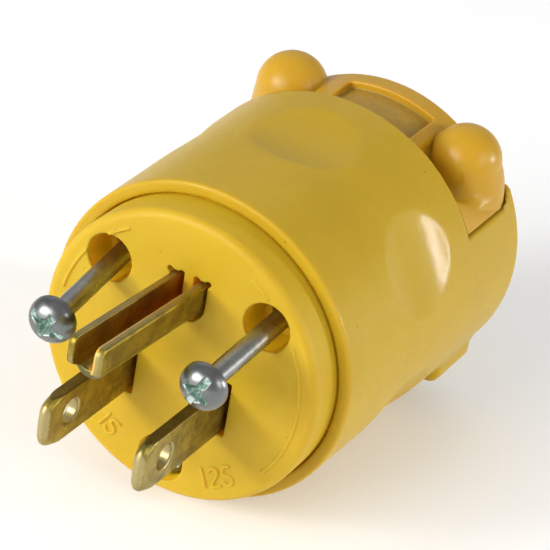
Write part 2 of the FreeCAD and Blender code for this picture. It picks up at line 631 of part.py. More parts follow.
# --------------------------------------------------------------------- nuts
for name, x, z in LONG:
    o = cut("insert_nut_" + name, cyl("insert_nut_out_" + name, d.insert_rad, d.insert_tall, (x, d.post_y + 0.05, z)),
            [cyl("insert_nut_bore_" + name, d.shank_rad + d.play, d.insert_tall + 2.0, (x, d.post_y - 1.0, z))])
    node(o, "assembly_nut_" + name)
for name, side in (("left", -1), ("right", 1)):
    b = body("clamp_nut_body_" + name)
    s = sketch(b, "nut_square_" + name, "XY_Plane", d.nut_low)
    x0, x1 = d.clamp_x * side - d.nut_half, d.clamp_x * side + d.nut_half
    outline(s, [(x0, d.clamp_y - d.nut_half), (x1, d.clamp_y - d.nut_half),
                (x1, d.clamp_y + d.nut_half), (x0, d.clamp_y + d.nut_half)])
    pad(b, s, "nut_pad_" + name, d.nut_thick)
    s = sketch(b, "nut_hole_" + name, "XY_Plane", d.nut_low)
    circle(s, (d.clamp_x * side, d.clamp_y), d.clamp_shank + d.play)
    pocket(b, s, "nut_bore_" + name)
    node(b, "clamp_nut_" + name)


# ---------------------------------------------------------- terminal parts
def wire_plate(name, label, role, centre, start, place_at=None):
    b = body(name + "_body")
    s = sketch(b, name + "_square", role, start)
    h = d.plate_side * 0.5
    a, c = [size(v) for v in centre]
    outline(s, [(a - h, c - h), (a + h, c - h), (a + h, c + h), (a - h, c + h)])
    pad(b, s, name + "_pad", d.plate_thick)
    s = sketch(b, name + "_round", role, start)
    circle(s, (a, c), d.bind_shank + 0.2)
    pocket(b, s, name + "_hole")
    if place_at is not None:
        b.Placement = place_at
    return node(b, label)


def binding_screw(name, label, where):
    head = cyl(name + "_head", d.bind_rad, d.bind_len, (0, 0, 0), "z")
    head = fillet(name + "_head_round", head, Size(0.6, "0.6"),
                  lambda e: edge_box(e)[4] > d.bind_len.v - 0.01 and e.Curve.TypeId == "Part::GeomCircle")
    shank = cyl(name + "_shank", d.bind_shank, d.bind_reach + 0.2, (0, 0, -d.bind_reach), "z")
    o = cut(name, fuse(name + "_blank", [head, shank]),
            [box(name + "_slot", (-5, -0.5, d.bind_len - 0.9), (5, 0.5, d.bind_len + 1.0))])
    o.Placement = where
    return node(o, label)


side_face = d.blade_x + d.blade_thick * 0.5
wire_plate("hot_plate", "hot_wire_plate", "YZ_Plane", (d.term_y, d.blade_z), side_face + 0.05)
wire_plate("neutral_plate", "neutral_wire_plate", "YZ_Plane", (d.term_y, d.blade_z), -side_face - d.plate_thick - 0.05)
wire_plate("ground_plate", "ground_wire_plate", "XY_Plane", (0.0, d.term_y),
           d.pin_z - d.pin_rad + d.pin_wall + 0.05, LEAN)
seat = side_face.v + d.plate_thick.v + 0.1
binding_screw("hot_screw", "hot_terminal_screw",
              Placement(Vector(seat, d.term_y.v, d.blade_z.v), Rotation(Vector(0, 0, 1), Vector(1, 0, 0))))
binding_screw("neutral_screw", "neutral_terminal_screw",
              Placement(Vector(-seat, d.term_y.v, d.blade_z.v), Rotation(Vector(0, 0, 1), Vector(-1, 0, 0))))
binding_screw("ground_screw", "ground_terminal_screw",
              LEAN * Placement(Vector(0, d.term_y.v, d.pin_z.v - d.pin_rad.v + d.pin_wall.v + d.plate_thick.v + 0.1), Rotation()))

# divider between the terminals: an upright web, a shelf under the ground tab
# and two wings behind the tabs of the flat blades
web = box("divider_web", (-d.web_half, d.insert_len + 0.1, -10.2), (d.web_half, 26.0, 3.2))
shelf = box("divider_shelf", (-5.0, d.insert_len + 0.1, 2.0), (5.0, 26.0, 3.6))
wings = box("divider_wings", (-8.6, d.tab_end + 0.15, -6.4), (8.6, 26.0, -1.4))
terminal_retainer = node(cut("divider", fuse("divider_blank", [web, shelf, wings]),
                             [cyl("divider_hole", 2.1, 8.0, (0, d.term_y - 0.3, 0), "z")]), "terminal_retainer")

# ------------------------------------------------------------ check and write
doc.recompute()
bad = []
for obj in doc.Objects:
    if "Invalid" in obj.State or "Error" in obj.State:
        bad.append(obj.Name + " " + ",".join(obj.State))
for label, obj in NODES:
    shape = obj.Shape
    if shape.isNull() or not shape.isValid():
        bad.append(label + " shape")
    elif len(shape.Solids) != 1:
        bad.append("%s has %d solids" % (label, len(shape.Solids)))
if bad:
    raise RuntimeError("; ".join(bad))
os.makedirs("parts", exist_ok=True)
for label, obj in NODES:
    obj.Shape.exportStep("parts/%s.step" % label)
    bb = obj.Shape.BoundBox
    print("%-24s vol %9.2f  x %.2f %.2f  y %.2f %.2f  z %.2f %.2f" % (
        label, obj.Shape.Volume, bb.XMin, bb.XMax, bb.YMin, bb.YMax, bb.ZMin, bb.ZMax))
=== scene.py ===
import bpy
import json
import math
import numpy as np
from mathutils import Matrix, Vector


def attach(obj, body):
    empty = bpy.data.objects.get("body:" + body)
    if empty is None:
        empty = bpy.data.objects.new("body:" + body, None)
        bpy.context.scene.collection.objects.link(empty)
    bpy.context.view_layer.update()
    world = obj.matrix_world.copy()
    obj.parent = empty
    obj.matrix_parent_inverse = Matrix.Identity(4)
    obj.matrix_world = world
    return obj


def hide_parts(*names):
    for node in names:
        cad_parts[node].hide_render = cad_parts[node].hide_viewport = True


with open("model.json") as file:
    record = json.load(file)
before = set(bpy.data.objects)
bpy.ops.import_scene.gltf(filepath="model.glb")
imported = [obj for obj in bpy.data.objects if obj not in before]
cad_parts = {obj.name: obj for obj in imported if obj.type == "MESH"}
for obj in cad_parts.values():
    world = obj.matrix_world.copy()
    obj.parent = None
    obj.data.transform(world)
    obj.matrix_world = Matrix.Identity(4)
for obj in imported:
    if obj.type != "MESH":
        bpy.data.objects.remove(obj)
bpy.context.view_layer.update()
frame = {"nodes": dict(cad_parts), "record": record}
MM = 0.001

scene = bpy.context.scene
scene.view_settings.view_transform = "Standard"
scene.view_settings.look = "None"

# ------------------------------------------------------------------- camera
# The view of the photograph: long lens, seen from the front right and above,
# and rolled, because the plug lies rolled about its own length.
RIGHT = Vector((0.8516352, 0.5010430, 0.1538612))
DOWN = Vector((0.3743382, -0.3759730, -0.8476528))
AHEAD = Vector((-0.3668629, 0.7794871, -0.5077514))
EYE = Vector((115.945, -224.058, 162.03)) * MM
cam_data = bpy.data.cameras.new("camera")
cam_data.sensor_fit = "HORIZONTAL"
cam_data.sensor_width = 36.0
cam_data.lens = 2603.08 * 36.0 / 550.0
cam_data.clip_start = 0.01
cam_data.clip_end = 20.0
cam = bpy.data.objects.new("camera", cam_data)
m = Matrix.Identity(4)
for r in range(3):
    m[r][0], m[r][1], m[r][2], m[r][3] = RIGHT[r], -DOWN[r], -AHEAD[r], EYE[r]
cam.matrix_world = m
scene.collection.objects.link(cam)
scene.camera = cam


# --------------------------------------------------- shapes as distance fields
# Each moulded or formed piece is a signed distance in millimetres, so that its
# edges get the soft radii of the real thing, and its surface becomes a mesh.
def smin(a, b, k):
    """Union whose inner corner is blended over k, which may vary over the space."""
    t = np.maximum(k - np.abs(a - b), 0.0) / k
    return np.minimum(a, b) - t * t * k * 0.25


def smax(a, b, k):
    return -smin(-a, -b, k)


def rnd(a, b, r):
    """Intersection with a round edge of radius r."""
    u = np.maximum(a + r, 0.0)
    v = np.maximum(b + r, 0.0)
    return np.minimum(np.maximum(a, b), -r) + np.sqrt(u * u + v * v)


def rund(a, b, r):
    """Union with a round inner corner of radius r."""
    return -rnd(-a, -b, r)


def slab(c, lo, hi):
    return np.maximum(lo - c, c - hi)


def rbox2(x, y, hx, hy, r):
    """Rectangle of half sizes hx, hy with corner radius r."""
    qx = np.abs(x) - hx + r
    qy = np.abs(y) - hy + r
    return np.minimum(np.maximum(qx, qy), 0.0) + np.hypot(np.maximum(qx, 0), np.maximum(qy, 0)) - r


def nets(f, lo, hi, h, steps=4):
    """Mesh of the surface f = 0 inside the box lo, hi, by surface nets at spacing h."""
    lo = np.array(lo, float)
    n = (np.ceil((np.array(hi, float) - lo) / h)).astype(int) + 1
    ax = [lo[i] + h * np.arange(n[i]) for i in range(3)]
    vals = np.empty(n, np.float32)
    for i0 in range(0, n[0], 24):
        g = np.meshgrid(ax[0][i0:i0 + 24], ax[1], ax[2], indexing="ij")
        vals[i0:i0 + 24] = f(*g)
    neg = vals < 0
    count = np.zeros(n - 1, np.uint8)
    for a in (0, 1):
        for b in (0, 1):
            for c in (0, 1):
                count += neg[a:n[0] - 1 + a, b:n[1] - 1 + b, c:n[2] - 1 + c]
    act = (count > 0) & (count < 8)
    cells = np.argwhere(act)
    ids = np.full(n - 1, -1, np.int64)
    ids[act] = np.arange(len(cells))
    pos = np.zeros((len(cells), 3))
    num = np.zeros(len(cells))
    for axis in range(3):
        o1, o2 = [k for k in range(3) if k != axis]
        for b in (0, 1):
            for c in (0, 1):
                off = np.zeros(3, int)
                off[o1], off[o2] = b, c
                p0 = cells + off
                p1 = p0.copy()
                p1[:, axis] += 1
                v0 = vals[p0[:, 0], p0[:, 1], p0[:, 2]].astype(float)
                v1 = vals[p1[:, 0], p1[:, 1], p1[:, 2]].astype(float)
                cross = (v0 < 0) != (v1 < 0)
                t = np.where(cross, v0 / np.where(cross, v0 - v1, 1.0), 0.0)
                add = np.tile(off.astype(float), (len(cells), 1))
                add[:, axis] += t
                pos += add * cross[:, None]
                num += cross
    verts = lo + (cells + pos / num[:, None]) * h
    faces = []
    for axis in range(3):
        u, v = (axis + 1) % 3, (axis + 2) % 3
        s0 = [slice(None)] * 3
        s1 = [slice(None)] * 3
        s0[axis] = slice(0, -1)
        s1[axis] = slice(1, None)
        flip = neg[tuple(s0)] != neg[tuple(s1)]
        edge = np.argwhere(flip)
        keep = (edge[:, u] > 0) & (edge[:, v] > 0) & (edge[:, u] < n[u] - 1) & (edge[:, v] < n[v] - 1)
        edge = edge[keep]
        inside_first = neg[tuple(edge.T)]
        quad = []
        for du, dv in ((-1, -1), (0, -1), (0, 0), (-1, 0)):
            c = edge.copy()
            c[:, u] += du
            c[:, v] += dv
            quad.append(ids[tuple(c.T)])
        quad = np.array(quad).T
        quad[~inside_first] = quad[~inside_first][:, ::-1]
        faces.append(quad)
    faces = np.concatenate(faces)
    e = h * 0.02
    cap = h * 0.6
    for _ in range(steps):
        x, y, z = verts.T
        d = f(x, y, z)
        g = np.stack([f(x + e, y, z) - f(x - e, y, z), f(x, y + e, z) - f(x, y - e, z),
                      f(x, y, z + e) - f(x, y, z - e)], 1) / (2 * e)
        g2 = np.maximum((g * g).sum(1), 0.2)
        move = -(d / g2)[:, None] * g
        size = np.linalg.norm(move, axis=1)
        move *= np.minimum(1.0, cap / np.maximum(size, 1e-9))[:, None] * 0.9
        verts = verts + move
    return verts, faces


def mesh_piece(name, verts, faces, body, node=None, slot=None, tris=None):
    me = bpy.data.meshes.new(name)
    me.from_pydata((np.asarray(verts) * MM).tolist(), [], [list(map(int, q)) for q in faces])
    me.validate()
    me.shade_smooth()
    ob = bpy.data.objects.new(name, me)
    scene.collection.objects.link(ob)
    if tris:
        have = sum(len(p.vertices) - 2 for p in me.polygons)
        if have > tris:
            mod = ob.modifiers.new("fewer", "DECIMATE")
            mod.ratio = tris / have
            dg = bpy.context.evaluated_depsgraph_get()
            new = bpy.data.meshes.new_from_object(ob.evaluated_get(dg))
            ob.modifiers.clear()
            ob.data = new
            bpy.data.meshes.remove(me)
            new.name = name
            new.shade_smooth()
    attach(ob, body)
    if node:
        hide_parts(node)
    return ob


# where the long screws are
def aim(top, through, spin):
    """Turn and shift of a long screw whose head's outer end is at top and whose axis passes through."""
    top, through = np.array(top, float), np.array(through, float)
    a = through - top
    a /= np.linalg.norm(a)
    q = Vector((0, 1, 0)).rotation_difference(Vector(a)).to_matrix()
    rot = np.array(q) @ np.array(Matrix.Rotation(math.radians(spin), 3, "Y"))
    return rot, top + a * 2.65


SCREWS = (("assembly_screw_left", aim((-8.94, -15.29, 7.36), (-10.4, 0.0, 8.16), 28.0)),
          ("assembly_screw_right", aim((10.78, -15.4, 7.84), (10.76, 0.0, 8.81), -62.0)),
          ("assembly_screw_bottom", (np.array(Matrix.Rotation(math.radians(15.0), 3, "Y")), np.array((0.0, 2.75, -13.95)))))
HEADS = [(tuple(at - rot @ np.array((0, 2.65, 0))), tuple(rot @ np.array((0, 1.0, 0)))) for _, (rot, at) in SCREWS]


# ---------------------------------------------------------------- materials
def nodes_of(mat):
    mat.use_nodes = True
    t = mat.node_tree
    t.nodes.clear()
    return t


class Net:
    """Small helper that builds a node material with object coordinates in millimetres."""

    def __init__(self, name):
        self.mat = bpy.data.materials.new(name)
        self.t = nodes_of(self.mat)
        self.out = self.add("ShaderNodeOutputMaterial")
        self.bsdf = self.add("ShaderNodeBsdfPrincipled")
        self.t.links.new(self.bsdf.outputs["BSDF"], self.out.inputs["Surface"])
        tc = self.add("ShaderNodeTexCoord")
        mp = self.add("ShaderNodeMapping")
        mp.inputs["Scale"].default_value = (1000, 1000, 1000)
        self.t.links.new(tc.outputs["Object"], mp.inputs["Vector"])
        self.p = mp.outputs["Vector"]

    def add(self, kind, **props):
        n = self.t.nodes.new(kind)
        for k, v in props.items():
            setattr(n, k, v)
        return n

    def put(self, sock, value):
        if isinstance(value, bpy.types.NodeSocket):
            self.t.links.new(value, sock)
        else:
            sock.default_value = value

    def scaled(self, sx, sy, sz, rot=(0, 0, 0), loc=(0, 0, 0)):
        n = self.add("ShaderNodeMapping")
        self.put(n.inputs["Vector"], self.p)
        n.inputs["Scale"].default_value = (sx, sy, sz)
        n.inputs["Rotation"].default_value = rot
        n.inputs["Location"].default_value = loc
        return n.outputs["Vector"]

    def noise(self, scale, detail=2.0, rough=0.5, at=None, dist=0.0):
        n = self.add("ShaderNodeTexNoise")
        self.put(n.inputs["Vector"], at or self.p)
        n.inputs["Scale"].default_value = scale
        n.inputs["Detail"].default_value = detail
        n.inputs["Roughness"].default_value = rough
        n.inputs["Distortion"].default_value = dist
        return n.outputs["Fac"]

    def voronoi(self, scale, feature="F1", at=None, rand=1.0, out="Distance"):
        n = self.add("ShaderNodeTexVoronoi", feature=feature)
        self.put(n.inputs["Vector"], at or self.p)
        n.inputs["Scale"].default_value = scale
        n.inputs["Randomness"].default_value = rand
        return n.outputs[out]

    def math(self, op, a, b=0.0, clamp=False):
        n = self.add("ShaderNodeMath", operation=op, use_clamp=clamp)
        self.put(n.inputs[0], a)
        self.put(n.inputs[1], b)
        return n.outputs[0]

    def ramp(self, value, lo, hi, a=0.0, b=1.0, smooth=True):
        n = self.add("ShaderNodeMapRange", interpolation_type="SMOOTHSTEP" if smooth else "LINEAR")
        self.put(n.inputs["Value"], value)
        n.inputs["From Min"].default_value = lo
        n.inputs["From Max"].default_value = hi
        n.inputs["To Min"].default_value = a
        n.inputs["To Max"].default_value = b
        return n.outputs["Result"]

    def mix(self, fac, a, b):
        n = self.add("ShaderNodeMix", data_type="RGBA")
        self.put(n.inputs[0], fac)
        self.put(n.inputs[6], a if isinstance(a, bpy.types.NodeSocket) else (*a, 1.0))
        self.put(n.inputs[7], b if isinstance(b, bpy.types.NodeSocket) else (*b, 1.0))
        return n.outputs[2]

    def xyz(self):
        n = self.add("ShaderNodeSeparateXYZ")
        self.put(n.inputs[0], self.p)
        return n.outputs[0], n.outputs[1], n.outputs[2]

    def bump(self, height, strength, dist, after=None):
        n = self.add("ShaderNodeBump")
        self.put(n.inputs["Height"], height)
        n.inputs["Strength"].default_value = strength
        n.inputs["Distance"].default_value = dist * MM
        if after is not None:
            self.put(n.inputs["Normal"], after)
        return n.outputs["Normal"]

    def set(self, **kw):
        for k, v in kw.items():
            name = k.replace("_", " ")
            sock = self.bsdf.inputs[name]
            if isinstance(v, tuple) and len(v) == 3 and sock.type == "RGBA":
                v = (*v, 1.0)
            self.put(sock, v)


def pvc(name, base, warm, rough, specks=1.0, grain=1.0, window=False, painted_glow=None, gloss=0.0, spec=0.30):
    """Semi-gloss moulded PVC: slightly uneven colour, small dark specks, fine leathery grain."""
    n = Net(name)
    big = n.noise(0.08, 3.0, 0.55)
    mid = n.noise(0.45, 4.0, 0.6)
    col = n.mix(n.ramp(big, 0.3, 0.7), base, warm)
    col = n.mix(n.ramp(mid, 0.45, 0.85, 0.0, 0.22), col, tuple(c * 0.84 for c in warm))
    sp = n.voronoi(0.40, rand=1.0)
    pick = n.noise(0.31, 0.0, 0.5, at=n.scaled(1, 1, 1, loc=(31, 7, 3)))
    dot = n.math("MULTIPLY", n.ramp(sp, 0.02, 0.07, 1.0, 0.0), n.ramp(pick, 0.54, 0.62))
    col = n.mix(n.math("MULTIPLY", dot, 0.8 * specks), col, (0.09, 0.055, 0.010))
    sp2 = n.voronoi(1.0, rand=1.0, at=n.scaled(1, 1, 1, loc=(5, 17, 9)))
    pick2 = n.noise(0.5, 0.0, 0.5, at=n.scaled(1, 1, 1, loc=(3, 71, 13)))
    dot2 = n.math("MULTIPLY", n.ramp(sp2, 0.02, 0.07, 1.0, 0.0), n.ramp(pick2, 0.58, 0.66))
    col = n.mix(n.math("MULTIPLY", dot2, 0.4 * specks), col, (0.20, 0.12, 0.015))
    rr = n.ramp(n.noise(1.6, 4.0, 0.65), 0.3, 0.75, rough - 0.05, rough + 0.08)
    fine = n.noise(3.2, 2.0, 0.55)
    coarse = n.noise(0.9, 2.0, 0.5)
    b1 = n.bump(fine, 0.55 * grain, 0.022)
    b2 = n.bump(coarse, 0.35 * grain, 0.05, b1)
    if window:
        # the sunk window of the jaw has a rough floor, painted a darker mottled brown
        x, y, z = n.xyz()
        r = n.math("SQRT", n.math("ADD", n.math("MULTIPLY", x, x), n.math("MULTIPLY", z, z)))
        low = n.ramp(r, 17.72, 17.62, 0.0, 1.0)
        wide = n.ramp(n.math("ABSOLUTE", n.math("SUBTRACT", x, 0.8)), 6.25, 6.1, 0.0, 1.0)
        high = n.ramp(z, 15.0, 15.4, 0.0, 1.0)
        m = n.math("MULTIPLY", low, n.math("MULTIPLY", wide, high))
        m = n.math("MULTIPLY", m, n.ramp(y, 45.9, 45.6))
        mott = n.ramp(n.noise(1.5, 4.0, 0.7), 0.35, 0.7, 0.45, 0.95)
        col = n.mix(n.math("MULTIPLY", m, mott), col, (0.36, 0.225, 0.040))
        b2 = n.bump(n.math("MULTIPLY", n.noise(2.6, 4.0, 0.7), m), 0.9, 0.10, b2)
    if painted_glow:
        # painted glow: the translucent plastic is painted bright orange in holes, slots and gaps, for the light that
        # shines through it there
        x, y, z = n.xyz()
        r = n.math("SQRT", n.math("ADD", n.math("MULTIPLY", x, x), n.math("MULTIPLY", z, z)))
        rin, yin, rgap, ygap = painted_glow
        m = n.math("MULTIPLY", n.ramp(r, rin, rin - 0.1), n.ramp(y, yin, yin + 0.35))
        m = n.math("MULTIPLY", m, n.ramp(y, 30.8, 30.2))
        if ygap:
            gap = n.math("MULTIPLY", n.ramp(y, ygap, ygap + 0.25), n.ramp(y, 8.6, 8.2))
            ring = n.ramp(n.math("ABSOLUTE", n.math("SUBTRACT", r, rgap)), 0.22, 0.12)
            m = n.math("MAXIMUM", m, n.math("MULTIPLY", ring, gap))
        col = n.mix(n.math("MULTIPLY", m, 0.9), col, (0.98, 0.62, 0.010))
    n.set(Base_Color=col, Roughness=rr, Normal=b2)
    n.bsdf.inputs["Specular IOR Level"].default_value = spec
    n.bsdf.inputs["Subsurface Weight"].default_value = 0.5
    n.bsdf.inputs["Subsurface Radius"].default_value = (1.0, 0.35, 0.04)
    n.bsdf.inputs["Subsurface Scale"].default_value = 1.9 * MM
    if gloss:
        n.bsdf.inputs["Coat Weight"].default_value = gloss
        n.bsdf.inputs["Coat Roughness"].default_value = 0.08
        n.put(n.bsdf.inputs["Coat Normal"], n.bump(n.noise(6.0, 2.0, 0.6), 1.0, 0.013))
    return n.mat


def brass(name, base, dark, edge, rough, marks=1.0, special=None):
    """Tarnished sheet brass with rolling marks; a given special function adds painted highlights and shade."""
    n = Net(name)
    stain = n.noise(0.42, 5.0, 0.62)
    col = n.mix(n.ramp(stain, 0.36, 0.66), base, dark)
    lines = n.noise(1.0, 5.0, 0.7, at=n.scaled(9.0, 0.35, 9.0))
    cross = n.noise(1.0, 4.0, 0.65, at=n.scaled(2.6, 5.2, 1.0, rot=(0.35, 0.0, 0.0)))
    col = n.mix(n.ramp(cross, 0.58, 0.78, 0.0, 0.30 * marks), col, edge)
    spots = n.voronoi(0.7)
    col = n.mix(n.ramp(spots, 0.05, 0.20, 0.5, 0.0), col, tuple(c * 0.4 for c in dark))
    rr = n.ramp(n.noise(2.2, 4.0, 0.6), 0.3, 0.7, rough - 0.07, rough + 0.12)
    metal = 0.9
    if special:
        col, rr, metal = special(n, col, rr)
    n.set(Base_Color=col, Metallic=metal, Roughness=rr)
    b1 = n.bump(lines, 0.25 * marks, 0.05)
    b2 = n.bump(cross, 0.35 * marks, 0.07, b1)
    n.set(Normal=b2)
    return n.mat


def blade_painted_light(side):
    """Painted highlights on the bevelled tip, brighter towards its top, and on a ring around the hole; painted shade
    on the narrow top edge.
    """
    def f(n, col, rr):
        x, y, z = n.xyz()
        bright = (0.52, 0.44, 0.26)
        # painted highlight: the bevelled tip is painted pale, more so towards its top
        wob = n.ramp(n.noise(1.1, 4.0, 0.65), 0.3, 0.7, -0.10, 0.10)
        tip = n.ramp(n.math("ADD", y, wob), -16.80, -17.05, 0.0, 0.8)
        upper = n.ramp(z, -6.9, -4.6, 0.35, 1.0)
        col = n.mix(n.math("MULTIPLY", tip, upper), col, bright)
        warm = n.ramp(y, -12.0, -16.5, 0.0, 0.35)
        col = n.mix(warm, col, (0.42, 0.31, 0.06))
        dy = n.math("ADD", y, 12.5)
        dz = n.math("ADD", z, 3.675)
        h = n.math("SQRT", n.math("ADD", n.math("MULTIPLY", dy, dy), n.math("MULTIPLY", dz, dz)))
        # painted highlight: a pale ring around the hole
        col = n.mix(n.ramp(h, 1.84, 1.74, 0.0, 0.55), col, bright)
        # painted shade: the narrow top edge is painted dark
        col = n.mix(n.ramp(z, -0.62, -0.54, 0.0, 0.75), col, (0.11, 0.085, 0.03))
        rr = n.math("ADD", rr, n.math("MULTIPLY", tip, 0.22))
        return col, rr, 0.9
    return f


def pin_fold_shade_and_tone(n, col, rr):
    """Painted shade and bounced light inside the fold, golden to deep reddish brown; painted shade on the set-back
    end of the fold; paler along the top edge and at the ends.
    """
    x, y, z = n.xyz()
    # distance from the middle of the fold, in the pin's leaning frame
    zt = n.math("ADD", z, n.math("MULTIPLY", n.math("SUBTRACT", y, 6.6), 0.0489))
    xt = n.math("ADD", x, n.math("MULTIPLY", n.math("SUBTRACT", y, 6.6), 0.0044))
    down = n.math("MINIMUM", n.math("SUBTRACT", zt, 8.2), 0.0)
    prof = n.math("SQRT", n.math("ADD", n.math("MULTIPLY", xt, xt), n.math("MULTIPLY", down, down)))
    # painted shade and bounced light: inside the fold the colour turns golden to deep reddish brown, redder further
    # in
    inner = n.ramp(prof, 1.46, 1.38, 0.0, 1.0)
    depth = n.ramp(y, -20.0, -3.0, 0.0, 1.0)
    cloud = n.ramp(n.noise(0.35, 4.0, 0.6), 0.35, 0.65)
    tone = n.mix(depth, (0.75, 0.43, 0.035), (0.66, 0.20, 0.006))
    tone = n.mix(n.math("MULTIPLY", cloud, 0.6), tone, (0.80, 0.36, 0.020))
    col = n.mix(inner, col, tone)
    top = n.ramp(zt, 10.58, 10.66, 0.0, 0.55)
    col = n.mix(top, col, (0.34, 0.27, 0.13))
    # painted shade: the set-back end of the fold is painted a dark greenish olive
    web = n.math("MULTIPLY", n.ramp(zt, 7.2, 7.0, 0.0, 1.0), n.ramp(y, -19.3, -19.5, 0.0, 1.0))
    web = n.math("MULTIPLY", web, n.ramp(prof, 1.36, 1.40, 0.0, 0.9))
    col = n.mix(web, col, (0.13, 0.12, 0.045))
    wob = n.ramp(n.noise(1.3, 3.0, 0.6), 0.3, 0.7, -0.15, 0.15)
    tip = n.math("MULTIPLY", n.ramp(n.math("ADD", y, wob), -20.80, -21.1, 0.0, 0.35), n.ramp(zt, 7.0, 7.3))
    col = n.mix(tip, col, (0.50, 0.41, 0.24))
    rr = n.math("ADD", rr, n.ramp(y, -20.3, -20.9, 0.0, 0.20))
    return col, rr, n.ramp(inner, 0.0, 1.0, 0.9, 0.25)


def zinc(name, base, tint, rough, heads=()):
    """Smooth zinc or nickel plate, a little clouded; the heads are painted darker as shade, and the recess in a head
    is rough and greenish with painted glints.
    """
    n = Net(name)
    a = n.noise(0.5, 2.0, 0.5)
    col = n.mix(n.ramp(a, 0.35, 0.7), base, tint)
    rr = n.ramp(n.noise(1.2, 2.0, 0.5), 0.3, 0.7, rough - 0.03, rough + 0.06)
    bump = n.bump(n.noise(0.5, 1.0, 0.5), 0.03, 0.03)
    mask = None
    shaded_heads = None
    for top, axis in heads:
        # depth along the screw's axis from the top of its head, and distance from that axis
        vec = n.add("ShaderNodeVectorMath", operation="SUBTRACT")
        n.put(vec.inputs[0], n.p)
        vec.inputs[1].default_value = top
        dot = n.add("ShaderNodeVectorMath", operation="DOT_PRODUCT")
        n.put(dot.inputs[0], vec.outputs[0])
        dot.inputs[1].default_value = axis
        deep = dot.outputs["Value"]
        ln = n.add("ShaderNodeVectorMath", operation="LENGTH")
        n.put(ln.inputs[0], vec.outputs[0])
        full = ln.outputs["Value"]
        out2 = n.math("SUBTRACT", n.math("MULTIPLY", full, full), n.math("MULTIPLY", deep, deep))
        # dome surface: deep = 0.132 r2 + 0.004 r4
        dome = n.math("ADD", n.math("MULTIPLY", out2, 0.132), n.math("MULTIPLY", n.math("MULTIPLY", out2, out2), 0.0045))
        sunk = n.ramp(n.math("SUBTRACT", deep, dome), 0.06, 0.16)
        m = n.math("MULTIPLY", sunk, n.ramp(out2, 5.6, 5.0))
        m = n.math("MULTIPLY", m, n.ramp(deep, 2.2, 2.1))
        mask = m if mask is None else n.math("MAXIMUM", mask, m)
        # painted shade: the heads are darkened
        cap = n.math("MULTIPLY", n.ramp(deep, 2.8, 2.6), n.ramp(out2, 10.0, 9.0))
        shaded_heads = cap if shaded_heads is None else n.math("MAXIMUM", shaded_heads, cap)
    if mask is not None:
        col = n.mix(n.math("MULTIPLY", shaded_heads, 0.55), col, (0.13, 0.14, 0.14))
        # painted glints: pale patches spread by noise in the recess
        glint = n.noise(2.2, 3.0, 0.6)
        tone = n.mix(n.ramp(glint, 0.42, 0.58), (0.26, 0.42, 0.33), (0.60, 0.68, 0.64))
        col = n.mix(mask, col, tone)
        rr = n.math("ADD", rr, n.math("MULTIPLY", mask, 0.16))
        bump = n.bump(n.math("MULTIPLY", n.noise(3.2, 3.0, 0.7), mask), 0.9, 0.10, bump)
    n.set(Metallic=1.0)
    n.set(Base_Color=col, Roughness=rr)
    n.set(Normal=bump)
    return n.mat


# the glow tuples place the painted orange glow in holes and gaps
MATS = {
    "insert_pvc": pvc("insert_pvc", (0.58, 0.385, 0.016), (0.55, 0.35, 0.013), 0.50, specks=0.6, grain=0.5, painted_glow=(17.3, 0.2, 18.5, 5.1), spec=0.27),
    "shell_pvc": pvc("shell_pvc", (0.53, 0.345, 0.016), (0.50, 0.32, 0.014), 0.43, painted_glow=(18.3, 4.0, 18.6, 5.1), gloss=0.15, spec=0.16),
    "jaw_pvc": pvc("jaw_pvc", (0.57, 0.33, 0.018), (0.54, 0.30, 0.015), 0.33, specks=0.4, grain=0.35, window=True),
    "retainer_pvc": pvc("retainer_pvc", (0.50, 0.33, 0.03), (0.46, 0.30, 0.03), 0.5, specks=0.3),
    "brass_blade": brass("brass_blade", (0.37, 0.30, 0.070), (0.17, 0.135, 0.032), (0.60, 0.50, 0.24), 0.34,
                         special=blade_painted_light(1)),
    "brass_blade_dark": brass("brass_blade_dark", (0.44, 0.33, 0.045), (0.24, 0.17, 0.025), (0.56, 0.44, 0.20), 0.36,
                              special=blade_painted_light(-1)),
    "brass_ground": brass("brass_ground", (0.35, 0.265, 0.032), (0.21, 0.155, 0.022), (0.56, 0.46, 0.20), 0.34,
                          0.7, special=pin_fold_shade_and_tone),
    "zinc_screw": zinc("zinc_screw", (0.33, 0.335, 0.32), (0.26, 0.265, 0.255), 0.30, HEADS),
    "brass_insert": brass("brass_insert", (0.50, 0.37, 0.13), (0.40, 0.29, 0.10), (0.7, 0.56, 0.26), 0.30, 0.4),
    "zinc_nut": zinc("zinc_nut", (0.45, 0.46, 0.47), (0.36, 0.37, 0.38), 0.28),
    "brass_plate": brass("brass_plate", (0.48, 0.36, 0.13), (0.38, 0.28, 0.10), (0.7, 0.56, 0.26), 0.32, 0.5),
    "zinc_plate": zinc("zinc_plate", (0.46, 0.47, 0.48), (0.38, 0.39, 0.40), 0.28),
    "brass_screw": brass("brass_screw", (0.52, 0.39, 0.14), (0.43, 0.32, 0.11), (0.75, 0.60, 0.30), 0.26, 0.3),
    "nickel_screw": zinc("nickel_screw", (0.52, 0.50, 0.46), (0.44, 0.42, 0.39), 0.22),
    "green_screw": zinc("green_screw", (0.03, 0.17, 0.05), (0.02, 0.12, 0.04), 0.32),
}
for sub in frame["record"]["subparts"]:
    ob = frame["nodes"][sub["node"]]
    mat = MATS[sub["material_slot"]]
    if not ob.material_slots:
        ob.data.materials.append(mat)
    for s in ob.material_slots:
        s.material = mat

# ------------------------------------------------------------------ casing
DIMPLES = [math.radians(90.0 - 60.0 * k) for k in range(6)]
CLAMP_X, CLAMP_Y = 12.6, 44.0


